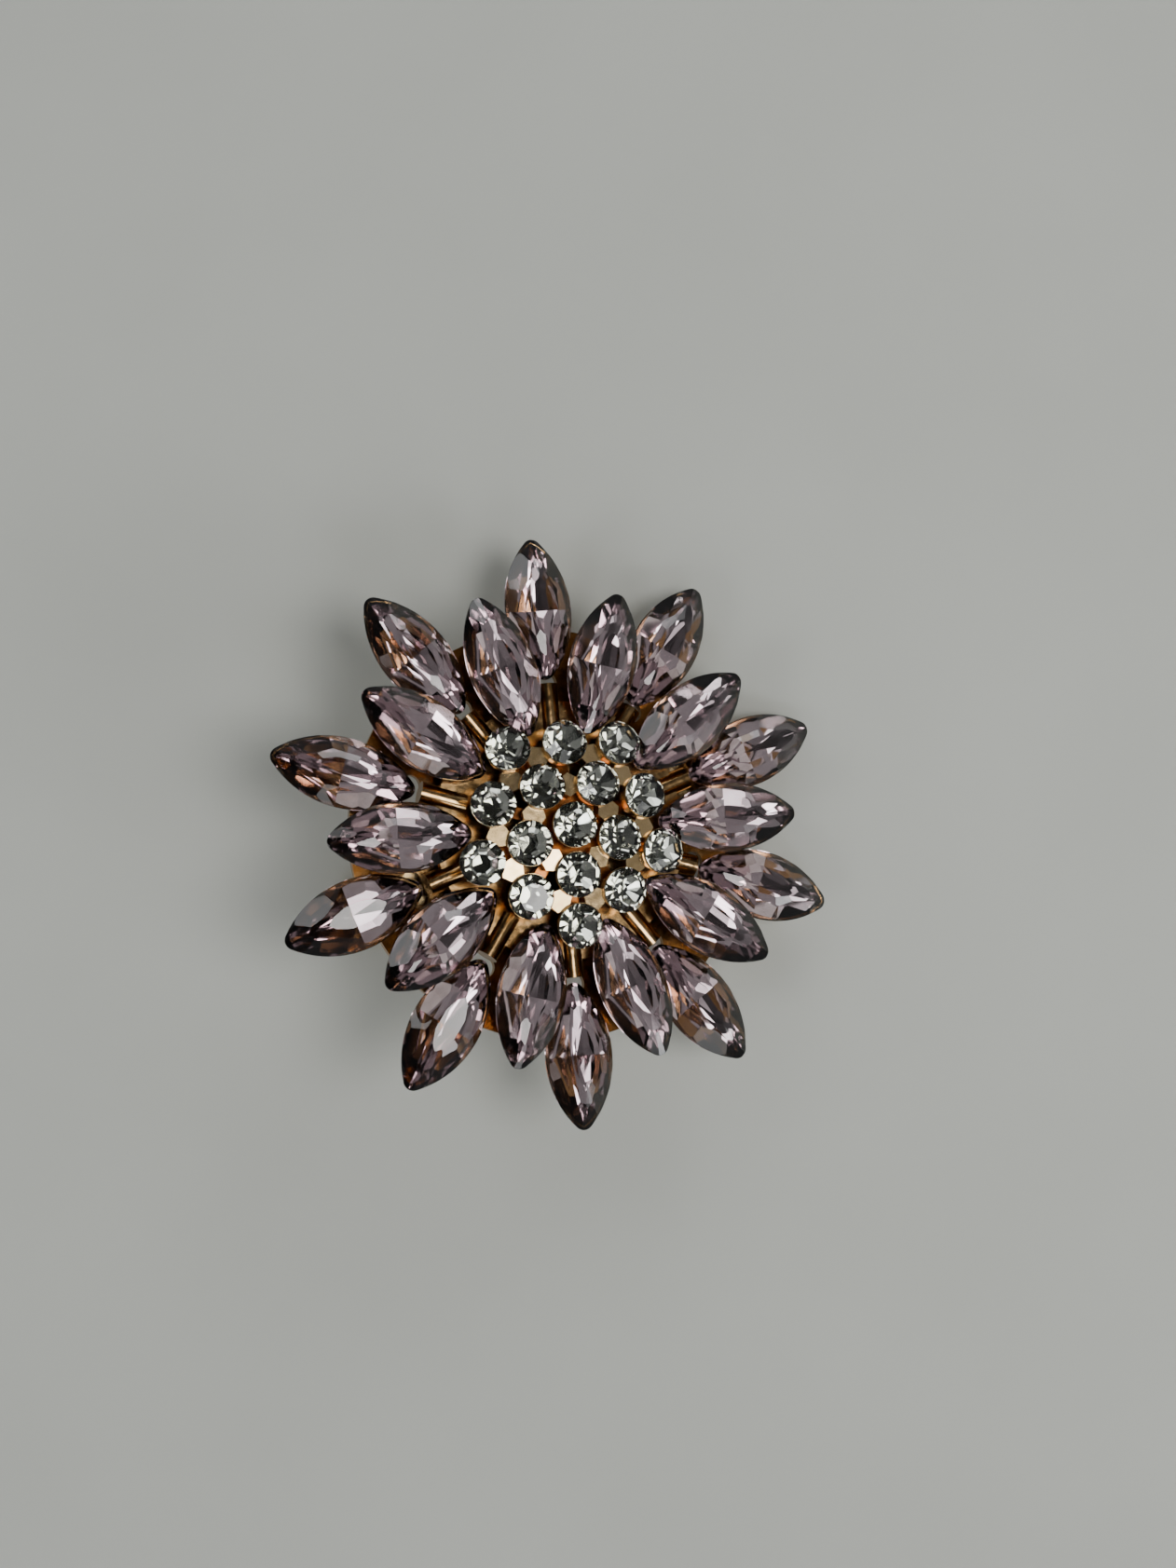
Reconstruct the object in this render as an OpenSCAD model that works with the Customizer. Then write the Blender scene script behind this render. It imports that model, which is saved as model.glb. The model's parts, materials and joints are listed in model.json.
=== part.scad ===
// Two-tier flower hair clip: ten navette petals in each tier, a domed cluster of
// sixteen round crystals, and a sprung two-jaw clip under the flower.
// It is modelled as it lies on a table: the lever's thumb tab and the front petal
// touch z = 0, and the flower leans towards +X. Millimetres.

/* [Petal stones] */
// Length of a petal stone from point to point
stone_l = 15; // [14:0.1:15]
// Width of a petal stone at its middle
stone_w = 7.2; // [6.6:0.1:7.2]
// Height of a petal stone's cut front above its girdle
stone_crown = 1.6; // [1.2:0.1:1.7]
// Depth of a petal stone's cut back below its girdle
stone_back = 2.4; // [2.2:0.1:2.4]

/* [Round crystals] */
// Diameter of a round crystal
crystal_d = 4.6; // [4.2:0.1:4.7]
// Height of a round crystal's cut front above its girdle
crystal_crown = 1.1; // [0.8:0.1:1.2]
// Depth of a round crystal's cut back below its girdle
crystal_back = 1.9; // [1.5:0.1:2.0]

/* [Flower] */
// Distance from the flower's axis to the middle of an outer petal
outer_mid_r = 23.2; // [23.0:0.1:23.8]
// Height of the outer girdles above the flower's back
outer_girdle_z = 3.0; // [2.9:0.1:3.2]
// Angle by which the outer petals rise towards their tips
outer_rise = -2; // [-3:0.5:0]
// Distance from the flower's axis to the middle of an inner petal
inner_mid_r = 17.55; // [17.4:0.05:17.8]
// Height of the inner girdles above the flower's back
inner_girdle_z = 6.15; // [6.0:0.05:6.6]
// Angle by which the inner petals rise towards their tips
inner_rise = 3.5; // [1:0.5:4]
// Height of the middle crystal's girdle above the flower's back
dome_top_z = 8.7; // [8.6:0.1:9.4]
// Radius of the sphere that the crystals' girdles lie on
dome_r = 43; // [38:1:60]

/* [Clip] */
// Angle between the flower and the table when the clip lies on its back
lie_angle = 20; // [18:0.5:22]
// Thickness of the stamped jaws
jaw_t = 0.8; // [0.6:0.1:0.9]
// Width of the top jaw
top_jaw_w = 8.3; // [8.3:0.1:9.0]
// Distance from the flower's axis to the tip of the jaws
jaw_tip_x = 19; // [16:0.5:19]
// Radius of the hinge pin
pin_r = 0.8; // [0.6:0.05:0.9]

/* [Hidden] */
$fn = 96;
gold = [0.80, 0.62, 0.30];
steel = [0.72, 0.72, 0.74];
pink_glass = [0.94, 0.85, 0.89, 0.75];
clear_glass = [0.93, 0.95, 0.97, 0.8];

petal_count = 10;
petal_step = 360 / petal_count;
crystal_step = 72;

// Cups: each stone's girdle lies on the rim, and its keel or point on the floor
girdle_t = 0.2;
rim_z = -0.45;
rim_inset = 0.12;
cup_wall = 0.22;
cup_floor = 0.4;
cup_draft = 1.7;
cup_l = stone_l - 2.5 * rim_inset;
cup_w = stone_w - 2 * rim_inset;
cup_depth = stone_back + cup_floor;

// Round cups of the crystal cluster
crystal_r = crystal_d / 2;
round_cup_r = crystal_r + 0.02;
round_cup_wall = 0.2;
round_cup_draft = 0.5;
round_cup_depth = crystal_back + cup_floor;
ring_a_r = 5.06;
ring_m_r = 8.56;
ring_b_r = 10.2;

// Stack of the flower's castings from its back upwards
outer_disc_r = 21.5;
outer_disc_t = 0.8;
slot_mid_r = 15.8;
slot_half_w = 1.1;
slot_l = 1.8;
inner_disc_r = 13.4;
inner_disc_z = 2.95;
inner_disc_t = 1.0;
tongue_r = 1.2;
tongue_z = 3.2;
tongue_end_r = 15.2;
spacer_r = 4.5;
boss_r = 4;
rivet_r = 1.5;
rivet_top_z = 6.0;
rivet_head_r = 2.5;
rivet_head_t = 0.6;
back_plate_r = 10;
back_plate_t = 0.8;
strut_w = 1.2;
strut_t = 1.3;
strut_drop = 2.0;
strut_start = 2.2;
web_pad_r = 1.25;
web_pad_drop = 0.8;
web_pad_t = 1.2;

// Lie of the flower: the front petal's cup touches the table with its back edge
arc_cup = arc_radius(cup_l, cup_w);
cup_foot_l = 2 * sqrt(pow(arc_cup - cup_draft, 2) - pow(arc_cup - cup_w / 2, 2));
foot_r = outer_mid_r + cup_foot_l / 2 * cos(outer_rise) + cup_depth * sin(outer_rise);
foot_z = outer_girdle_z + cup_foot_l / 2 * sin(outer_rise) - cup_depth * cos(outer_rise);
lift = foot_r * sin(lie_angle) - foot_z * cos(lie_angle);
tip_z = outer_girdle_z + stone_l / 2 * sin(outer_rise);
shift = -tip_z * sin(lie_angle);

// Clip, in the flower's own X and Z
pivot_x = -4;
pivot_z = -4.6;
jaw_z = -back_plate_t - jaw_t;
handle_end_x = -22;
ear_r = 2.0;
top_ear_t = 0.65;
bottom_jaw_w = top_jaw_w - 2 * top_ear_t - 0.3;
bottom_ear_t = 0.6;
pin_fit = 0.01;
pin_play = 0.05;
pin_head_r = 1.4;
pin_head_t = 0.5;
pin_end_play = 0.1;
tab_end_x = -19.6;
tab_start_x = -15.4;
corner_cut = 1.4;
tooth_pitch = 1.6;
tooth_h = 0.6;
tooth_gap = 0.15;
tooth_start_x = 4;
tooth_end_x = jaw_tip_x - 3.4;

// Height of the table in the flower's frame, as a function of x
function table_z(x) = (x * sin(lie_angle) - lift) / cos(lie_angle);
function tab_z(x) = table_z(x) + jaw_t / 2 / cos(lie_angle);

// Middle line of the bottom jaw from its tip to the end of the thumb tab
bottom_line = [
    [jaw_tip_x, -2.25],
    [3, -4.6],
    [-0.5, -7.6],
    [-6.5, -7.95],
    [tab_start_x, tab_z(tab_start_x)],
    [tab_end_x, tab_z(tab_end_x)]
];

// Spring: a coil round the pin with one leg on each handle
wire_r = 0.35;
coil_r = 1.75;
coil_half_w = 1.9;
coil_turns = 4;
leg_gap = 0.05;
top_leg_end = [-14, jaw_z - wire_r - leg_gap];
lever_dir = unit(bottom_line[4] - bottom_line[3]);
lever_in = [lever_dir[1], -lever_dir[0]];
low_leg_end = bottom_line[3] + 8.5 * lever_dir + (jaw_t / 2 + wire_r + leg_gap) * lever_in;

CASTINGS = ["outer_frame", "inner_frame", "crystal_setting", "tier_spacer", "center_rivet", "back_plate"];
CLIP = ["top_jaw", "bottom_jaw", "pivot_pin", "torsion_spring"];
OUTER_STONES = [for (i = [1 : petal_count]) str("outer_stone_", two_digits(i))];
INNER_STONES = [for (i = [1 : petal_count]) str("inner_stone_", two_digits(i))];
CRYSTALS = [for (i = [1 : 16]) str("crystal_", two_digits(i))];

function two_digits(i) = str(i < 10 ? "0" : "", i);
function unit(v) = v / norm(v);

// Radius of the two arcs that bound a navette of length l and width w
function arc_radius(l, w) = (l * l + w * w) / (4 * w);

// Half the width of a navette at a distance x from its middle
function half_width(l, w, x) =
    sqrt(max(0, pow(arc_radius(l, w), 2) - x * x)) - arc_radius(l, w) + w / 2;

// Point number i of n round a navette's outline, at height z
function navette_point(l, w, i, n, z) =
    let (x = l / 2 * cos(360 * i / n), side = i % (n / 2) == 0 ? 0 : (i < n / 2 ? 1 : -1))
    [x, side * half_width(l, w, x), z];

function ring(r, n, z) = [for (i = [0 : n - 1]) [r * cos(360 * i / n), r * sin(360 * i / n), z]];

// Place of each crystal as [distance from the axis, angle round it]
crystal_spots = concat(
    [[0, 0]],
    [for (k = [0 : 4]) [ring_a_r, crystal_step / 2 + k * crystal_step]],
    [for (k = [0 : 4]) [ring_m_r, k * crystal_step]],
    [for (k = [0 : 4]) [ring_b_r, crystal_step / 2 + k * crystal_step]]
);

// Places of the flat pads that join neighbouring cups
web_spots = concat(
    [for (k = [0 : 4]) [4.25, k * crystal_step]],
    [for (k = [0 : 4], s = [-1, 1]) [7.87, crystal_step / 2 + k * crystal_step + s * 14]]
);

// Moves the flower and its clip from the flower's frame to the table
module laid() {
    translate([shift, 0, lift]) rotate([0, lie_angle, 0]) children();
}

module at_outer(index) {
    rotate([0, 0, index * petal_step])
        translate([outer_mid_r, 0, outer_girdle_z]) rotate([0, -outer_rise, 0]) children();
}

module at_inner(index) {
    rotate([0, 0, (index + 0.5) * petal_step])
        translate([inner_mid_r, 0, inner_girdle_z]) rotate([0, -inner_rise, 0]) children();
}

module at_crystal(spot) {
    rotate([0, 0, spot[1]]) translate([0, 0, dome_top_z - dome_r])
        rotate([0, asin(spot[0] / dome_r), 0]) translate([0, 0, dome_r]) children();
}

// Solid between two leaning arcs, with its widest outline at z = top
module navette_cone(l, w, top, depth, draft) {
    arc = arc_radius(l, w);
    intersection() {
        translate([0, arc - w / 2, top - depth]) cylinder(h = depth, r1 = arc - draft, r2 = arc);
        translate([0, w / 2 - arc, top - depth]) cylinder(h = depth, r1 = arc - draft, r2 = arc);
    }
}

module petal_cup() {
    navette_cone(cup_l, cup_w, rim_z, cup_depth + rim_z, cup_draft);
}

// Room for the stone's back inside a petal cup
module petal_seat() {
    navette_cone(cup_l - 2.5 * cup_wall, cup_w - 2 * cup_wall, rim_z, stone_back + rim_z, cup_draft);
}

// Navette stone: a table, a ring of crown facets, a thin girdle and a keeled back
module navette_stone() {
    n = 16;
    keel = stone_l * 0.06;
    table = [for (i = [0 : n / 2 - 1]) navette_point(stone_l * 0.62, stone_w * 0.56, i * 2, n, stone_crown)];
    upper = [for (i = [0 : n - 1]) navette_point(stone_l, stone_w, i, n, 0)];
    lower = [for (i = [0 : n - 1]) navette_point(stone_l, stone_w, i, n, -girdle_t)];
    back = [[keel, 0, -stone_back], [-keel, 0, -stone_back]];
    t0 = 0;
    u0 = n / 2;
    l0 = u0 + n;
    b0 = l0 + n;
    half = n / 2;
    polyhedron(
        points = concat(table, upper, lower, back),
        faces = concat(
            [[for (k = [half - 1 : -1 : 0]) t0 + k]],
            [for (k = [0 : half - 1]) [t0 + k, t0 + (k + 1) % half, u0 + 2 * k + 1]],
            [for (k = [0 : half - 1]) [t0 + k, u0 + 2 * k + 1, u0 + 2 * k]],
            [for (k = [0 : half - 1]) [t0 + k, u0 + 2 * k, u0 + (2 * k + n - 1) % n]],
            [for (i = [0 : n - 1]) [u0 + i, u0 + (i + 1) % n, l0 + (i + 1) % n]],
            [for (i = [0 : n - 1]) [u0 + i, l0 + (i + 1) % n, l0 + i]],
            [for (i = [0 : n - 1]) [l0 + i, l0 + (i + 1) % n, b0 + (i >= n / 4 && i < 3 * n / 4 ? 1 : 0)]],
            [[b0, l0 + n / 4, b0 + 1], [b0 + 1, l0 + 3 * n / 4, b0]]
        ),
        convexity = 2
    );
}

// Round stone: an eight-sided table, crown facets, a thin girdle and a pointed back
module round_stone() {
    n = 16;
    half = n / 2;
    u0 = half;
    l0 = u0 + n;
    b0 = l0 + n;
    polyhedron(
        points = concat(
            ring(crystal_r * 0.6, half, crystal_crown),
            ring(crystal_r, n, 0),
            ring(crystal_r, n, -girdle_t),
            [[0, 0, -crystal_back]]
        ),
        faces = concat(
            [[for (k = [half - 1 : -1 : 0]) k]],
            [for (k = [0 : half - 1]) [k, (k + 1) % half, u0 + 2 * k + 1]],
            [for (k = [0 : half - 1]) [k, u0 + 2 * k + 1, u0 + 2 * k]],
            [for (k = [0 : half - 1]) [k, u0 + 2 * k, u0 + (2 * k + n - 1) % n]],
            [for (i = [0 : n - 1]) [u0 + i, u0 + (i + 1) % n, l0 + (i + 1) % n]],
            [for (i = [0 : n - 1]) [u0 + i, l0 + (i + 1) % n, l0 + i]],
            [for (i = [0 : n - 1]) [l0 + i, l0 + (i + 1) % n, b0]]
        ),
        convexity = 2
    );
}

// Lower casting: a disc with the outer petals' cups round it and a slot behind each cup
module outer_frame() {
    color(gold) laid() difference() {
        union() {
            cylinder(h = outer_disc_t, r = outer_disc_r);
            for (i = [0 : petal_count - 1]) at_outer(i) petal_cup();
        }
        for (i = [0 : petal_count - 1]) {
            at_outer(i) petal_seat();
            rotate([0, 0, i * petal_step]) translate([slot_mid_r, 0, -1]) slot();
        }
        translate([0, 0, -1]) cylinder(h = 4, r = rivet_r + pin_fit);
    }
}

module slot() {
    translate([-slot_half_w, -slot_l / 2, 0]) cube([2 * slot_half_w, slot_l, 3]);
    for (s = [-1, 1]) translate([0, s * slot_l / 2, 0]) cylinder(h = 3, r = slot_half_w);
}

// Upper casting: a disc with the inner petals' cups and ten half-round tongues round it
module inner_frame() {
    color(gold) laid() difference() {
        union() {
            translate([0, 0, inner_disc_z]) cylinder(h = inner_disc_t, r = inner_disc_r);
            for (i = [0 : petal_count - 1]) {
                at_inner(i) petal_cup();
                rotate([0, 0, i * petal_step]) translate([inner_disc_r - 3, 0, tongue_z])
                    rotate([0, 90, 0]) cylinder(h = tongue_end_r - inner_disc_r + 3, r = tongue_r);
            }
        }
        for (i = [0 : petal_count - 1]) at_inner(i) petal_seat();
        translate([0, 0, inner_disc_z - 1]) cylinder(h = 4, r = rivet_r + pin_fit);
    }
}

// Lattice that holds the sixteen crystals: cups, flat pads between them, and struts below
module crystal_setting() {
    floor_z = inner_disc_z + inner_disc_t;
    color(gold) laid() difference() {
        union() {
            translate([0, 0, floor_z]) cylinder(h = dome_top_z - strut_drop - 0.15 - floor_z, r = boss_r);
            for (k = [0 : 4]) {
                strut(crystal_step / 2 + k * crystal_step, ring_b_r);
                strut(k * crystal_step, ring_m_r);
            }
            for (spot = crystal_spots) at_crystal(spot) translate([0, 0, -round_cup_depth])
                cylinder(h = round_cup_depth + rim_z, r1 = round_cup_r - round_cup_draft, r2 = round_cup_r);
            for (spot = web_spots) at_crystal(spot) translate([0, 0, -web_pad_drop - web_pad_t])
                cylinder(h = web_pad_t, r = web_pad_r, $fn = 6);
        }
        for (spot = crystal_spots) at_crystal(spot) round_seat();
        translate([0, 0, inner_disc_z])
            cylinder(h = rivet_top_z + 0.05 - inner_disc_z, r = rivet_r + pin_fit);
    }
}

// Room for the stone's back inside a round cup
module round_seat() {
    top_r = round_cup_r - round_cup_wall;
    deep = crystal_back + rim_z + 0.1;
    translate([0, 0, -crystal_back]) cylinder(h = deep, r1 = top_r - round_cup_draft, r2 = top_r);
}

// Bar below the cups from the middle of the dome to a crystal at radius reach
module strut(angle, reach) {
    slope = asin(reach / dome_r) / 2;
    rotate([0, 0, angle]) translate([0, 0, dome_top_z - strut_drop]) rotate([0, slope, 0])
        translate([strut_start, -strut_w / 2, -strut_t]) cube([reach - strut_start, strut_w, strut_t]);
}

// Ring that keeps the two castings apart
module tier_spacer() {
    color(gold) laid() translate([0, 0, outer_disc_t]) difference() {
        cylinder(h = inner_disc_z - outer_disc_t, r = spacer_r);
        translate([0, 0, -1]) cylinder(h = 4, r = rivet_r + pin_fit);
    }
}

module center_rivet() {
    color(gold) laid() union() {
        translate([0, 0, -rivet_head_t]) cylinder(h = rivet_head_t, r = rivet_head_r);
        cylinder(h = rivet_top_z, r = rivet_r);
    }
}

// Disc on the flower's back that the clip is soldered to
module back_plate() {
    color(gold) laid() translate([0, 0, -back_plate_t]) difference() {
        cylinder(h = back_plate_t, r = back_plate_r);
        translate([0, 0, -1]) cylinder(h = 3, r = rivet_head_r + pin_play);
    }
}

// Unit normal of a line's segment from point i to point i + 1
function segment_normal(line, i) = let (d = unit(line[i + 1] - line[i])) [-d[1], d[0]];

// Outline of a strip of thickness t that follows a line, with mitred bends
function strip_edge(line, offset) = [
    for (i = [0 : len(line) - 1])
        let (
            before = segment_normal(line, max(i - 1, 0)),
            after = segment_normal(line, min(i, len(line) - 2)),
            mitre = unit(before + after)
        )
        line[i] + offset / (mitre * before) * mitre
];

function reversed(list) = [for (i = [len(list) - 1 : -1 : 0]) list[i]];

function strip_outline(line, t) = concat(strip_edge(line, t / 2), reversed(strip_edge(line, -t / 2)));

// Side wall drawn as an outline in the X-Z plane, between y = inside and y = inside + t
module wall(outline, inside, t) {
    translate([0, inside + t, 0]) rotate([90, 0, 0]) linear_extrude(t) polygon(outline);
}

module across(y_from, y_to, r) {
    translate([pivot_x, y_to, pivot_z]) rotate([90, 0, 0]) cylinder(h = y_to - y_from, r = r);
}

// Straight upper jaw with two ears folded down round the pin
module top_jaw() {
    ear_in = top_jaw_w / 2 - top_ear_t;
    end_r = top_jaw_w / 2;
    color(gold) laid() difference() {
        union() {
            translate([handle_end_x + end_r, -top_jaw_w / 2, jaw_z])
                cube([jaw_tip_x - handle_end_x - 2 * end_r, top_jaw_w, jaw_t]);
            for (x = [handle_end_x + end_r, jaw_tip_x - end_r])
                translate([x, 0, jaw_z]) cylinder(h = jaw_t, r = end_r);
            for (y = [-top_jaw_w / 2, ear_in]) {
                wall([[pivot_x - 4.5, jaw_z + 0.2], [pivot_x + 4.5, jaw_z + 0.2],
                    [pivot_x + ear_r, pivot_z], [pivot_x - ear_r, pivot_z]], y, top_ear_t);
                across(y, y + top_ear_t, ear_r);
            }
        }
        across(-top_jaw_w, top_jaw_w, pin_r + pin_play);
    }
}

// Upper edge of the bottom jaw's toothed walls, from the pin side to the tip
function tooth_line() = [
    for (x = [tooth_start_x : tooth_pitch : tooth_end_x - tooth_pitch], step = [0, 1])
        [x + step * tooth_pitch / 2, jaw_z - tooth_gap - (step == 0 ? tooth_h : 0)]
];

// Lower jaw: a toothed trough, two ears round the pin, and the lever with its thumb tab
module bottom_jaw() {
    half_w = bottom_jaw_w / 2;
    color(gold) laid() difference() {
        union() {
            intersection() {
                wall(strip_outline(bottom_line, jaw_t), -half_w, bottom_jaw_w);
                cut_corners(tab_end_x - 1, jaw_tip_x + 1, half_w);
            }
            for (y = [-half_w, half_w - bottom_ear_t]) {
                wall(concat([[tooth_start_x, bottom_line[1][1]]], tooth_line(),
                    [[tooth_end_x, -2.6]]), y, bottom_ear_t);
                wall([[pivot_x - 4, -7.9], [pivot_x + 3.5, -7.7], [pivot_x + ear_r, pivot_z],
                    [pivot_x - ear_r, pivot_z]], y, bottom_ear_t);
                across(y, y + bottom_ear_t, ear_r);
            }
        }
        across(-bottom_jaw_w, bottom_jaw_w, pin_r + pin_fit);
    }
}

// Tall block with its four corners cut off, for trimming a strip's ends
module cut_corners(x_from, x_to, half_w) {
    translate([0, 0, table_z(x_from) - 5]) linear_extrude(40) polygon([
        [x_from, corner_cut + 1 - half_w], [x_from + corner_cut + 1, -half_w - 0.01],
        [x_to - corner_cut - 1, -half_w - 0.01], [x_to, corner_cut + 1 - half_w],
        [x_to, half_w - corner_cut - 1], [x_to - corner_cut - 1, half_w + 0.01],
        [x_from + corner_cut + 1, half_w + 0.01], [x_from, half_w - corner_cut - 1]
    ]);
}

module pivot_pin() {
    half_l = top_jaw_w / 2 + pin_end_play;
    color(steel) laid() union() {
        across(-half_l - pin_head_t, half_l + pin_head_t, pin_r);
        across(half_l, half_l + pin_head_t, pin_head_r);
        across(-half_l - pin_head_t, -half_l, pin_head_r);
    }
}

// Angle at which a line from the point leaves the coil, on the chosen side
function leave_angle(point, side) =
    let (d = point - [pivot_x, pivot_z]) atan2(d[1], d[0]) + side * acos(coil_r / norm(d));

// Route of the spring's wire: top leg, coil, lever leg
function spring_route() =
    let (
        first = leave_angle(top_leg_end, 1),
        last = leave_angle(low_leg_end, -1) + 360 * coil_turns,
        steps = 16 * coil_turns
    )
    concat(
        [[top_leg_end[0], -coil_half_w, top_leg_end[1]]],
        [for (i = [0 : steps])
            let (a = first + (last - first) * i / steps)
            [pivot_x + coil_r * cos(a), coil_half_w * (2 * i / steps - 1), pivot_z + coil_r * sin(a)]],
        [[low_leg_end[0], coil_half_w, low_leg_end[1]]]
    );

// Wire with an eight-sided section along a route
module wire(route) {
    sides = 8;
    last = len(route) - 1;
    rings = [
        for (i = [0 : last])
            let (
                along = unit(route[min(i + 1, last)] - route[max(i - 1, 0)]),
                out = unit(cross(along, [0, 1, 0])),
                up = cross(along, out)
            )
            for (k = [0 : sides - 1])
                route[i] + wire_r * (cos(360 * k / sides) * out + sin(360 * k / sides) * up)
    ];
    polyhedron(
        points = rings,
        faces = concat(
            [[for (k = [0 : sides - 1]) k]],
            [[for (k = [sides - 1 : -1 : 0]) last * sides + k]],
            [for (i = [0 : last - 1], k = [0 : sides - 1])
                [i * sides + k, (i + 1) * sides + k, (i + 1) * sides + (k + 1) % sides]],
            [for (i = [0 : last - 1], k = [0 : sides - 1])
                [i * sides + k, (i + 1) * sides + (k + 1) % sides, i * sides + (k + 1) % sides]]
        ),
        convexity = 8
    );
}

module torsion_spring() {
    color(steel) laid() wire(spring_route());
}

module outer_stone(index) {
    color(pink_glass) laid() at_outer(index) navette_stone();
}

module inner_stone(index) {
    color(pink_glass) laid() at_inner(index) navette_stone();
}

module crystal(index) {
    color(clear_glass) laid() at_crystal(crystal_spots[index]) round_stone();
}

outer_frame();
inner_frame();
crystal_setting();
tier_spacer();
center_rivet();
back_plate();
top_jaw();
bottom_jaw();
pivot_pin();
torsion_spring();
for (i = [0 : petal_count - 1]) {
    outer_stone(i);
    inner_stone(i);
}
for (i = [0 : len(CRYSTALS) - 1]) crystal(i);
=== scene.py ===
"""Looks of a tiered flower hair clip: cut glass stones over gold-tone cups, on a sprung clip.

Lengths in the constants are millimetres in the flower's own frame (z = 0 at the flower's back,
x towards the jaw tips) unless a name says otherwise. LAID moves that frame to the table.
"""
import json
import math
import random

import bmesh
import bpy
from mathutils import Matrix, Vector


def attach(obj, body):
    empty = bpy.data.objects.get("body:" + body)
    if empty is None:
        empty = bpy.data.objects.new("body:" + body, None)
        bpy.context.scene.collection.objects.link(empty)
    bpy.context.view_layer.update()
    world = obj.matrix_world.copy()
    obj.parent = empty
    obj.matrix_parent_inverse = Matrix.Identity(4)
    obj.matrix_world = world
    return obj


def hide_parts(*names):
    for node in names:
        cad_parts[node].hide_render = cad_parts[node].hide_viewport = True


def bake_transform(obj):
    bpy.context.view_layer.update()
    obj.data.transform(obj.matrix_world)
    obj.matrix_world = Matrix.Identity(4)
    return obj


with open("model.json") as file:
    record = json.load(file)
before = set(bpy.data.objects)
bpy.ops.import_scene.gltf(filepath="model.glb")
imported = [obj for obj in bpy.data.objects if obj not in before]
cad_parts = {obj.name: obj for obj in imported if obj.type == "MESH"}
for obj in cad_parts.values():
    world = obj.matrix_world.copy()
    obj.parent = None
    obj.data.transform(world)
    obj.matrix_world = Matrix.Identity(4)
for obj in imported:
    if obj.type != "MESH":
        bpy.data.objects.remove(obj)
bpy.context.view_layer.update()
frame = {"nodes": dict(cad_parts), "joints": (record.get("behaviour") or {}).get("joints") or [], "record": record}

MM = 0.001
FLOWER = "flower_jaw"

# Sizes and places shared with the CAD model
PIVOT_X, PIVOT_Z = -4.0, -4.6
STONE_L, STONE_W = 15.0, 7.2
STONE_CROWN, STONE_BACK = 1.6, 2.4
TIP_R = 1.0
GIRDLE = 0.2
OUTER_R, OUTER_Z, OUTER_RISE = 23.2, 3.0, -2.0
INNER_R, INNER_Z, INNER_RISE = 17.55, 6.15, 3.5
PETALS = 10
DOME_TOP, DOME_R = 8.7, 43.0
CRYSTAL_R, CRYSTAL_CROWN, CRYSTAL_BACK = 2.3, 1.1, 1.9
RING_A, RING_M, RING_B = 5.06, 8.56, 10.2
CRYSTALS_PER_RING = 5
WIRE_R, COIL_R, COIL_HALF_W, COIL_TURNS = 0.35, 1.75, 1.9, 4
LEG_STEPS, COIL_STEPS = 12, 192
TOP_LEG_END = Vector((-14.0, 0, -2.0))
LOW_LEG_END = Vector((-13.543, 0, -12.776))

# How the pieces sit and how their edges are worn
PETAL_SEED, PETAL_LEAN_DEG = 11, 1.0
CRYSTAL_SEED, CRYSTAL_LEAN_DEG = 5, 2.0
WORN_EDGE, WORN_EDGE_FROM_DEG = 0.00010, 40
FOIL_STEP = 0.05


# ---------------------------------------------------------------- placing

def laid_matrix():
    """The flower's frame on the table, from the joint's place and the jaws' direction."""
    grip = next(m for m in frame["record"]["mounts"] if m["name"] == "jaw_grip")
    lean = math.asin(-grip["axis"][2])
    turn = Matrix.Rotation(lean, 4, "Y")
    hinge = Vector(frame["joints"][0]["pos_m"])
    pivot = Vector((PIVOT_X, 0, PIVOT_Z)) * MM
    return Matrix.Translation(hinge - turn @ pivot) @ turn


LAID = laid_matrix()


def petal_place(index, radius, height, rise, offset):
    spin = Matrix.Rotation(math.radians((index + offset) * 360 / PETALS), 4, "Z")
    move = Matrix.Translation(Vector((radius, 0, height)) * MM)
    return LAID @ spin @ move @ Matrix.Rotation(math.radians(-rise), 4, "Y")


def crystal_place(radius, angle):
    spin = Matrix.Rotation(math.radians(angle), 4, "Z")
    centre = Matrix.Translation((0, 0, (DOME_TOP - DOME_R) * MM))
    lean = Matrix.Rotation(math.asin(radius / DOME_R), 4, "Y")
    return LAID @ spin @ centre @ lean @ Matrix.Translation((0, 0, DOME_R * MM))


def crystal_spots():
    """Radius and angle of each crystal: one in the middle, then three rings."""
    step = 360 / CRYSTALS_PER_RING
    spots = [(0.0, 0.0)]
    for radius, start in ((RING_A, step / 2), (RING_M, 0), (RING_B, step / 2)):
        spots += [(radius, start + step * k) for k in range(CRYSTALS_PER_RING)]
    return spots


# ---------------------------------------------------------------- cutting stones

def navette_outline(length, width, tip_r, per_side=20, per_tip=6):
    """Two long arcs joined by small round tips, as points in order."""
    l, w = length / 2 - tip_r, width / 2 - tip_r
    arc = (l * l + w * w) / (2 * w)
    half = math.asin(l / arc)
    points = []
    for side in (1, -1):
        for k in range(per_side + 1):
            a = side * (half - 2 * half * k / per_side)
            points.append(((arc + tip_r) * math.sin(a), side * ((arc + tip_r) * math.cos(a) - arc + w)))
        sweep = math.pi / 2 - half
        for k in range(1, per_tip):
            a = math.pi / 2 - sweep + 2 * sweep * k / per_tip
            points.append((side * (-l - tip_r * math.sin(a)), side * (tip_r * math.cos(a))))
    return [Vector((x, y, 0)) for x, y in points]


def round_outline(radius, count=48):
    return [
        Vector((radius * math.cos(math.tau * k / count), radius * math.sin(math.tau * k / count), 0))
        for k in range(count)
    ]


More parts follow.
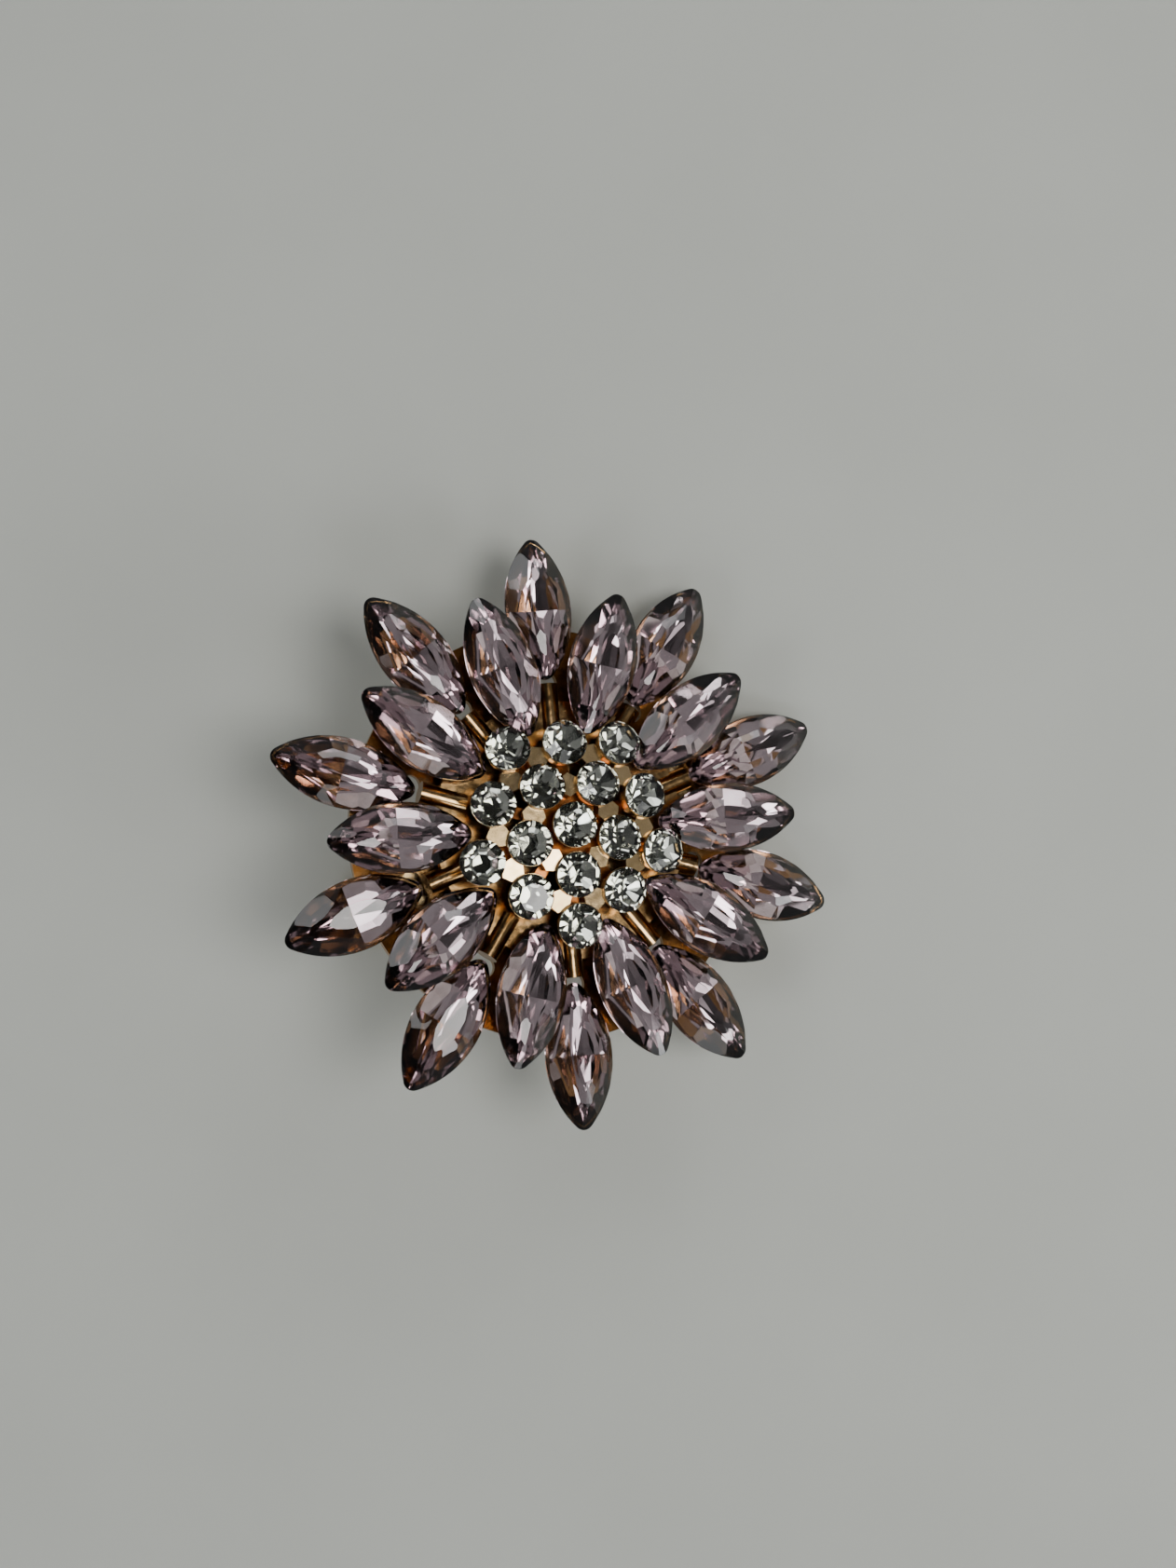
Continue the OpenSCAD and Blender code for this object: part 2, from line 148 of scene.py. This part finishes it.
class Stone:
    """A block over an outline, trimmed by facet planes. Units are millimetres."""

    def __init__(self, outline, top, bottom):
        self.outline = outline
        self.bm = bmesh.new()
        low = [self.bm.verts.new((p.x, p.y, bottom)) for p in outline]
        high = [self.bm.verts.new((p.x, p.y, top)) for p in outline]
        self.bm.faces.new(high)
        self.bm.faces.new(low[::-1])
        for i in range(len(outline)):
            j = (i + 1) % len(outline)
            self.bm.faces.new((low[i], low[j], high[j], high[i]))

    def reach(self, heading):
        return max(p.dot(heading) for p in self.outline)

    def cut(self, point, normal):
        geometry = self.bm.verts[:] + self.bm.edges[:] + self.bm.faces[:]
        bmesh.ops.bisect_plane(
            self.bm, geom=geometry, dist=1e-5, plane_co=point, plane_no=normal, clear_outer=True
        )
        edges = [e for e in self.bm.edges if e.is_boundary]
        if edges:
            bmesh.ops.holes_fill(self.bm, edges=edges, sides=0)

    def crown(self, heading_deg, slope_deg, inset=0.0, height=0.0):
        """Crown facet facing heading, through a point inset from the outline at this height."""
        self._facet(heading_deg, slope_deg, inset, height, 1)

    def back(self, heading_deg, slope_deg, inset=0.0, height=-GIRDLE):
        self._facet(heading_deg, slope_deg, inset, height, -1)

    def _facet(self, heading_deg, slope_deg, inset, height, up):
        a, s = math.radians(heading_deg), math.radians(slope_deg)
        heading = Vector((math.cos(a), math.sin(a), 0))
        point = heading * (self.reach(heading) - inset) + Vector((0, 0, height))
        self.cut(point, heading * math.sin(s) + Vector((0, 0, up * math.cos(s))))

    def back_to_culet(self, heading_deg, depth):
        """Back facet that touches the girdle and passes through the culet."""
        a = math.radians(heading_deg)
        reach = self.reach(Vector((math.cos(a), math.sin(a), 0)))
        self.back(heading_deg, math.degrees(math.atan2(depth - GIRDLE, reach)))

    def mesh(self, name, foil_below=None):
        bm = self.bm
        bmesh.ops.remove_doubles(bm, verts=bm.verts[:], dist=1e-4)
        bmesh.ops.recalc_face_normals(bm, faces=bm.faces[:])
        for face in bm.faces:
            face.smooth = False
            if foil_below is not None and face.calc_center_median().z < foil_below and face.normal.z < -0.1:
                face.material_index = 1
        bmesh.ops.scale(bm, vec=(MM, MM, MM), verts=bm.verts[:])
        data = bpy.data.meshes.new(name)
        bm.to_mesh(data)
        bm.free()
        return data


def quarters(angle):
    """The four headings that mirror one heading about both long and short middle lines."""
    return angle, 180 - angle, 180 + angle, 360 - angle


def cut_navette(name):
    """Marquise-cut stone, 15 x 7 mm, with its back meeting at a point under the middle."""
    stone = Stone(navette_outline(STONE_L, STONE_W, TIP_R), STONE_CROWN, -STONE_BACK)
    for angle in (36, 62):
        for heading in quarters(angle):
            stone.back_to_culet(heading, STONE_BACK)
    for heading in (90, 270):
        stone.back(heading, 50)
    for angle, slope in ((76, 46), (50, 44), (24, 36)):
        for heading in quarters(angle):
            stone.back(heading, slope)
    for heading in (90, 270):
        stone.crown(heading, 37)
    for heading in (0, 180):
        stone.crown(heading, 26)
    for angle, slope in ((64, 35), (40, 31)):
        for heading in quarters(angle):
            stone.crown(heading, slope)
    for angle, slope in ((77, 52), (52, 50), (26, 42)):
        for heading in quarters(angle):
            stone.crown(heading, slope)
    for heading in (90, 270):
        stone.crown(heading, 19, 2.5, STONE_CROWN)
    for angle, slope, inset in ((70, 18, 2.6), (45, 15, 3.4), (18, 13, 4.2)):
        for heading in quarters(angle):
            stone.crown(heading, slope, inset, STONE_CROWN)
    return stone.mesh(name, foil_below=-GIRDLE - FOIL_STEP)


def cut_chaton(name):
    """Round pointed-back crystal with a silver-foiled back."""
    stone = Stone(round_outline(CRYSTAL_R), CRYSTAL_CROWN, -CRYSTAL_BACK)
    for k in range(8):
        stone.back_to_culet(22.5 + 45 * k, CRYSTAL_BACK)
        stone.back(45 * k, 39.5)
        stone.crown(22.5 + 45 * k, 50)
        stone.crown(45 * k, 53)
    return stone.mesh(name, foil_below=-GIRDLE - FOIL_STEP)


# ---------------------------------------------------------------- materials

def new_material(name):
    material = bpy.data.materials.new(name)
    material.use_nodes = True
    nodes = material.node_tree.nodes
    return material, nodes, material.node_tree.links, nodes["Principled BSDF"]


def noise_node(nodes, links, scale, detail):
    place = nodes.new("ShaderNodeTexCoord")
    noise = nodes.new("ShaderNodeTexNoise")
    noise.inputs["Scale"].default_value = scale
    noise.inputs["Detail"].default_value = detail
    links.new(place.outputs["Object"], noise.inputs["Vector"])
    return noise


def ramp_node(nodes, links, source, stops):
    ramp = nodes.new("ShaderNodeValToRGB")
    ramp.color_ramp.elements[0].position = stops[0][0]
    ramp.color_ramp.elements[1].position = stops[-1][0]
    ramp.color_ramp.elements[0].color = (*stops[0][1], 1)
    ramp.color_ramp.elements[1].color = (*stops[-1][1], 1)
    for position, colour in stops[1:-1]:
        ramp.color_ramp.elements.new(position).color = (*colour, 1)
    links.new(source, ramp.inputs["Fac"])
    return ramp


def bump_node(nodes, links, height, strength, distance):
    bump = nodes.new("ShaderNodeBump")
    bump.inputs["Strength"].default_value = strength
    bump.inputs["Distance"].default_value = distance
    links.new(height, bump.inputs["Height"])
    return bump


def gold_material(name, base, deep, roughness, ripple_strength):
    """Gold-tone plating: a colour that drifts a little, casting ripple and fine polishing marks."""
    material, nodes, links, shader = new_material(name)
    shader.inputs["Metallic"].default_value = 1.0
    drift = noise_node(nodes, links, 260, 3)
    colour = ramp_node(nodes, links, drift.outputs["Fac"], [(0.35, deep), (0.62, base)])
    links.new(colour.outputs["Color"], shader.inputs["Base Color"])
    wear = noise_node(nodes, links, 1400, 5)
    low, high = roughness
    rough = ramp_node(nodes, links, wear.outputs["Fac"], [(0.3, (low,) * 3), (0.75, (high,) * 3)])
    links.new(rough.outputs["Color"], shader.inputs["Roughness"])
    ripple = noise_node(nodes, links, 520, 2)
    bump = bump_node(nodes, links, ripple.outputs["Fac"], ripple_strength, 0.00012)
    links.new(bump.outputs["Normal"], shader.inputs["Normal"])
    return material


def paint_shade_below_dome(material, depths, shade_colour):
    """Painted shade in the gaps: the further under the crystals' dome, the darker the plating is painted."""
    nodes, links = material.node_tree.nodes, material.node_tree.links
    shader = nodes["Principled BSDF"]
    centre = LAID @ Vector((0, 0, (DOME_TOP - DOME_R) * MM))
    place = nodes.new("ShaderNodeTexCoord")
    span = nodes.new("ShaderNodeVectorMath")
    span.operation = "DISTANCE"
    span.inputs[1].default_value = centre
    links.new(place.outputs["Object"], span.inputs[0])
    depth = nodes.new("ShaderNodeMapRange")
    depth.inputs["From Min"].default_value = (DOME_R - depths[1]) * MM
    depth.inputs["From Max"].default_value = (DOME_R - depths[0]) * MM
    links.new(span.outputs["Value"], depth.inputs["Value"])
    unshaded_colour = shader.inputs["Base Color"].links[0].from_socket
    mix = nodes.new("ShaderNodeMix")
    mix.data_type = "RGBA"
    mix.blend_type = "MULTIPLY"
    mix.inputs["Factor"].default_value = 1.0
    # painted shade: plating colour multiplied darker with depth under the dome
    shade_tone = ramp_node(nodes, links, depth.outputs["Result"], [(0.0, shade_colour), (1.0, (1, 1, 1))])
    links.new(unshaded_colour, mix.inputs["A"])
    links.new(shade_tone.outputs["Color"], mix.inputs["B"])
    links.new(mix.outputs["Result"], shader.inputs["Base Color"])


def glass_material(name, tint, density, ior):
    """Cut glass with faint polishing marks; the colour builds up with the path through the stone."""
    material, nodes, links, shader = new_material(name)
    drift = noise_node(nodes, links, 180, 2)
    tones = [(0.3, (0.96, 0.95, 0.96)), (0.7, (1.0, 1.0, 1.0))]
    colour = ramp_node(nodes, links, drift.outputs["Fac"], tones)
    links.new(colour.outputs["Color"], shader.inputs["Base Color"])
    shader.inputs["Transmission Weight"].default_value = 1.0
    shader.inputs["IOR"].default_value = ior
    wear = noise_node(nodes, links, 900, 4)
    rough = ramp_node(nodes, links, wear.outputs["Fac"], [(0.45, (0.0,) * 3), (0.8, (0.035,) * 3)])
    links.new(rough.outputs["Color"], shader.inputs["Roughness"])
    absorb = nodes.new("ShaderNodeVolumeAbsorption")
    absorb.inputs["Color"].default_value = (*tint, 1)
    absorb.inputs["Density"].default_value = density
    links.new(absorb.outputs["Volume"], nodes["Material Output"].inputs["Volume"])
    return material


def foil_material(name, pale, dark):
    """Silver foil on the back of a stone, a little uneven."""
    material, nodes, links, shader = new_material(name)
    shader.inputs["Metallic"].default_value = 1.0
    tarnish = noise_node(nodes, links, 700, 3)
    colour = ramp_node(nodes, links, tarnish.outputs["Fac"], [(0.3, dark), (0.7, pale)])
    links.new(colour.outputs["Color"], shader.inputs["Base Color"])
    rough = ramp_node(nodes, links, tarnish.outputs["Fac"], [(0.3, (0.08,) * 3), (0.7, (0.03,) * 3)])
    links.new(rough.outputs["Color"], shader.inputs["Roughness"])
    return material


def steel_material(name):
    """Bright drawn steel with fine lengthwise marks."""
    material, nodes, links, shader = new_material(name)
    shader.inputs["Metallic"].default_value = 1.0
    marks = noise_node(nodes, links, 1800, 5)
    tones = [(0.3, (0.60, 0.60, 0.61)), (0.7, (0.68, 0.68, 0.69))]
    colour = ramp_node(nodes, links, marks.outputs["Fac"], tones)
    rough = ramp_node(nodes, links, marks.outputs["Fac"], [(0.3, (0.18,) * 3), (0.7, (0.34,) * 3)])
    links.new(colour.outputs["Color"], shader.inputs["Base Color"])
    links.new(rough.outputs["Color"], shader.inputs["Roughness"])
    bump = bump_node(nodes, links, marks.outputs["Fac"], 0.03, 0.00005)
    links.new(bump.outputs["Normal"], shader.inputs["Normal"])
    return material


def floor_material():
    material, nodes, links, shader = new_material("pale_floor")
    grain = noise_node(nodes, links, 30, 6)
    tones = [(0.3, (0.49, 0.505, 0.465)), (0.7, (0.52, 0.535, 0.495))]
    colour = ramp_node(nodes, links, grain.outputs["Fac"], tones)
    links.new(colour.outputs["Color"], shader.inputs["Base Color"])
    shader.inputs["Roughness"].default_value = 0.6
    return material


# the first gold below is the same plating as the dome and jaws, painted darker as shade for the frames and cups
# lower down
SHADED_GOLD = gold_material("shaded_gold_plate", (0.47, 0.30, 0.14), (0.31, 0.18, 0.07), (0.12, 0.28), 0.30)
DOME_GOLD = gold_material("dome_plate", (0.84, 0.61, 0.33), (0.76, 0.54, 0.27), (0.18, 0.28), 0.08)
# painted shade: the dome plate is darkened in the gaps under the crystals
paint_shade_below_dome(DOME_GOLD, (1.0, 2.0), (0.30, 0.15, 0.08))
JAW_GOLD = gold_material("jaw_plate", (0.84, 0.64, 0.36), (0.74, 0.54, 0.28), (0.18, 0.34), 0.05)
STEEL = steel_material("spring_steel")
PINK = glass_material("pale_pink_glass", (0.87, 0.64, 0.71), 72.0, 1.56)
CLEAR = glass_material("clear_glass", (0.90, 0.97, 0.92), 40.0, 1.56)
FOIL = foil_material("silver_foil", (0.74, 0.74, 0.67), (0.58, 0.58, 0.52))
PINK_FOIL = foil_material("rose_foil", (0.88, 0.81, 0.82), (0.74, 0.66, 0.67))


def dress_frame():
    """Gives each carried-over CAD part its metal."""
    metals = {
        "crystal_setting": DOME_GOLD,
        "top_jaw": JAW_GOLD,
        "bottom_jaw": JAW_GOLD,
        "pivot_pin": STEEL,
        "torsion_spring": STEEL,
    }
    for name, node in frame["nodes"].items():
        node.data.materials.clear()
        # parts not listed get the darker gold, which is painted shade
        node.data.materials.append(metals.get(name, SHADED_GOLD))


# ---------------------------------------------------------------- pieces

def add_piece(name, data, place, body, slot, *nodes):
    piece = bpy.data.objects.new(name, data)
    bpy.context.scene.collection.objects.link(piece)
    piece.matrix_world = place
    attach(piece, body)
    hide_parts(*nodes)
    return piece


def seated(place, chance, lean_deg):
    """A stone never sits quite level in its cup."""
    lean = math.radians(lean_deg)
    about_x = Matrix.Rotation(chance.uniform(-lean, lean), 4, "X")
    about_y = Matrix.Rotation(chance.uniform(-lean, lean), 4, "Y")
    return place @ (about_x @ about_y)


def add_petal_stones():
    chance = random.Random(PETAL_SEED)
    data = cut_navette("navette_cut")
    data.materials.append(PINK)
    data.materials.append(PINK_FOIL)
    for i in range(PETALS):
        number = f"{i + 1:02d}"
        outer = petal_place(i, OUTER_R, OUTER_Z, OUTER_RISE, 0)
        inner = petal_place(i, INNER_R, INNER_Z, INNER_RISE, 0.5)
        for tier, place in (("outer", outer), ("inner", inner)):
            at = seated(place, chance, PETAL_LEAN_DEG)
            add_piece(f"{tier}_navette_{number}", data, at, FLOWER, "pink_glass", f"{tier}_stone_{number}")


def add_crystals():
    chance = random.Random(CRYSTAL_SEED)
    data = cut_chaton("chaton_cut")
    data.materials.append(CLEAR)
    data.materials.append(FOIL)
    for i, (radius, angle) in enumerate(crystal_spots()):
        turn = Matrix.Rotation(chance.uniform(0, math.pi / 4), 4, "Z")
        place = seated(crystal_place(radius, angle), chance, CRYSTAL_LEAN_DEG) @ turn
        number = f"{i + 1:02d}"
        add_piece(f"chaton_{number}", data, place, FLOWER, "clear_crystal", f"crystal_{number}")


def spring_route():
    """Wire's middle line: leg under the top jaw, coil round the pin, leg on the lever."""
    pivot = Vector((PIVOT_X, 0, PIVOT_Z))
    tangent = math.acos(COIL_R / (TOP_LEG_END - pivot).length)
    first = math.atan2(TOP_LEG_END.z - PIVOT_Z, TOP_LEG_END.x - PIVOT_X) + tangent
    tangent = math.acos(COIL_R / (LOW_LEG_END - pivot).length)
    last = math.atan2(LOW_LEG_END.z - PIVOT_Z, LOW_LEG_END.x - PIVOT_X) - tangent + math.tau * COIL_TURNS
    start = pivot + Vector((math.cos(first), 0, math.sin(first))) * COIL_R
    end = pivot + Vector((math.cos(last), 0, math.sin(last))) * COIL_R
    side = Vector((0, COIL_HALF_W, 0))
    route = [TOP_LEG_END.lerp(start, k / LEG_STEPS) - side for k in range(LEG_STEPS)]
    for k in range(COIL_STEPS + 1):
        share = k / COIL_STEPS
        angle = first + (last - first) * share
        offset = Vector((math.cos(angle) * COIL_R, COIL_HALF_W * (2 * share - 1), math.sin(angle) * COIL_R))
        route.append(pivot + offset)
    route += [end.lerp(LOW_LEG_END, k / LEG_STEPS) + side for k in range(1, LEG_STEPS + 1)]
    return route


def swept_wire(name, route, radius, sides=14):
    """Round wire along a route, with domed ends."""
    bm = bmesh.new()
    last = len(route) - 1
    rings = []
    across = Vector((0, 1, 0))

    def ring(centre, along, size):
        out = along.cross(across).normalized()
        up = along.cross(out)
        turns = [math.tau * k / sides for k in range(sides)]
        return [bm.verts.new((centre + (out * math.cos(t) + up * math.sin(t)) * size) * MM) for t in turns]

    for i, point in enumerate(route):
        along = (route[min(i + 1, last)] - route[max(i - 1, 0)]).normalized()
        if i == 0:
            rings.append(ring(point - along * radius * 0.45, along, radius * 0.55))
        rings.append(ring(point, along, radius))
        if i == last:
            rings.append(ring(point + along * radius * 0.45, along, radius * 0.55))
    for a, b in zip(rings, rings[1:]):
        for k in range(sides):
            bm.faces.new((a[k], a[(k + 1) % sides], b[(k + 1) % sides], b[k]))
    bm.faces.new(rings[0][::-1])
    bm.faces.new(rings[-1])
    bmesh.ops.recalc_face_normals(bm, faces=bm.faces[:])
    for face in bm.faces:
        face.smooth = True
    data = bpy.data.meshes.new(name)
    bm.to_mesh(data)
    bm.free()
    return data


def add_spring():
    data = swept_wire("spring_wire", spring_route(), WIRE_R)
    data.transform(LAID)
    data.materials.append(STEEL)
    spring = bpy.data.objects.new("spring_wire", data)
    bpy.context.scene.collection.objects.link(spring)
    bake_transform(spring)
    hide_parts("torsion_spring")


def soften_jaw_edges():
    for name in ("top_jaw", "bottom_jaw"):
        bevel = frame["nodes"][name].modifiers.new("worn_edges", "BEVEL")
        bevel.width = WORN_EDGE
        bevel.segments = 2
        bevel.limit_method = "ANGLE"
        bevel.angle_limit = math.radians(WORN_EDGE_FROM_DEG)
        bevel.use_clamp_overlap = True


# ---------------------------------------------------------------- light, floor, camera

ROOM_LOW, ROOM_HIGH = 0.24, 0.025
OVERHEAD_DARK = (22, 70)
# Soft windows: azimuth, angle from overhead, half-width of the bright part and of the whole, strength
WINDOWS = [
    (-88, 40, 5, 9, 6.5),
    (190, 47, 6, 10, 6.5),
    (100, 52, 8, 13, 2.7),
    (48, 64, 8, 13, 4.5),
    (-112, 63, 9, 14, 2.1),
    (-52, 62, 6, 11, 8.0),
    (168, 20, 4, 7, 1.0),
]
KEY_AZIMUTH, KEY_FROM_ZENITH, KEY_AWAY = -25, 24, 0.8
KEY_SIZE, KEY_ENERGY = 0.34, 2.9
FLOOR_HALF, FLOOR_GAP = 0.6, 0.00002
LENS, SENSOR = 52.0, 36.0
CAMERA_AT = Vector((4.72, 3.28, 245.76)) * MM
CAMERA_TURN = 22.29


def add_camera():
    data = bpy.data.cameras.new("camera")
    data.lens = LENS
    data.sensor_width = SENSOR
    data.sensor_fit = "AUTO"
    data.clip_start = 0.01
    camera = bpy.data.objects.new("camera", data)
    camera.location = CAMERA_AT
    camera.rotation_euler = (0, 0, -math.radians(CAMERA_TURN))
    bpy.context.scene.collection.objects.link(camera)
    bpy.context.scene.camera = camera


def add_floor():
    data = bpy.data.meshes.new("floor")
    half, z = FLOOR_HALF, -FLOOR_GAP
    corners = [(-half, -half, z), (half, -half, z), (half, half, z), (-half, half, z)]
    data.from_pydata(corners, [], [(0, 1, 2, 3)])
    data.materials.append(floor_material())
    floor = bpy.data.objects.new("floor", data)
    bpy.context.scene.collection.objects.link(floor)


def direction(azimuth_deg, from_zenith_deg):
    a, z = math.radians(azimuth_deg), math.radians(from_zenith_deg)
    return Vector((math.sin(z) * math.cos(a), math.sin(z) * math.sin(a), math.cos(z)))


def add_world():
    """Grey room: dark right overhead, paler low down, with soft windows at the listed places."""
    world = bpy.data.worlds.new("studio")
    bpy.context.scene.world = world
    world.use_nodes = True
    nodes, links = world.node_tree.nodes, world.node_tree.links
    place = nodes.new("ShaderNodeTexCoord")

    def lobe(heading, inner, outer, low, high):
        dot = nodes.new("ShaderNodeVectorMath")
        dot.operation = "DOT_PRODUCT"
        dot.inputs[1].default_value = heading
        links.new(place.outputs["Generated"], dot.inputs[0])
        spread = nodes.new("ShaderNodeMapRange")
        spread.interpolation_type = "SMOOTHSTEP"
        spread.inputs["From Min"].default_value = math.cos(math.radians(outer))
        spread.inputs["From Max"].default_value = math.cos(math.radians(inner))
        spread.inputs["To Min"].default_value = low
        spread.inputs["To Max"].default_value = high
        links.new(dot.outputs["Value"], spread.inputs["Value"])
        return spread.outputs["Result"]

    total = lobe((0, 0, 1), OVERHEAD_DARK[0], OVERHEAD_DARK[1], ROOM_LOW, ROOM_HIGH)
    for azimuth, from_zenith, inner, outer, power in WINDOWS:
        add = nodes.new("ShaderNodeMath")
        add.operation = "ADD"
        links.new(total, add.inputs[0])
        links.new(lobe(direction(azimuth, from_zenith), inner, outer, 0, power), add.inputs[1])
        total = add.outputs["Value"]
    background = nodes["Background"]
    background.inputs["Color"].default_value = (0.97, 0.99, 1.0, 1)
    links.new(total, background.inputs["Strength"])


def add_key_light():
    data = bpy.data.lights.new("key", "AREA")
    data.shape = "DISK"
    data.size = KEY_SIZE
    data.energy = KEY_ENERGY
    data.color = (1.0, 0.985, 0.96)
    key = bpy.data.objects.new("key", data)
    heading = direction(KEY_AZIMUTH, KEY_FROM_ZENITH)
    key.location = heading * KEY_AWAY
    key.rotation_euler = heading.to_track_quat("Z", "Y").to_euler()
    bpy.context.scene.collection.objects.link(key)


dress_frame()
soften_jaw_edges()
add_petal_stones()
add_crystals()
add_spring()
add_camera()
add_floor()
add_world()
add_key_light()
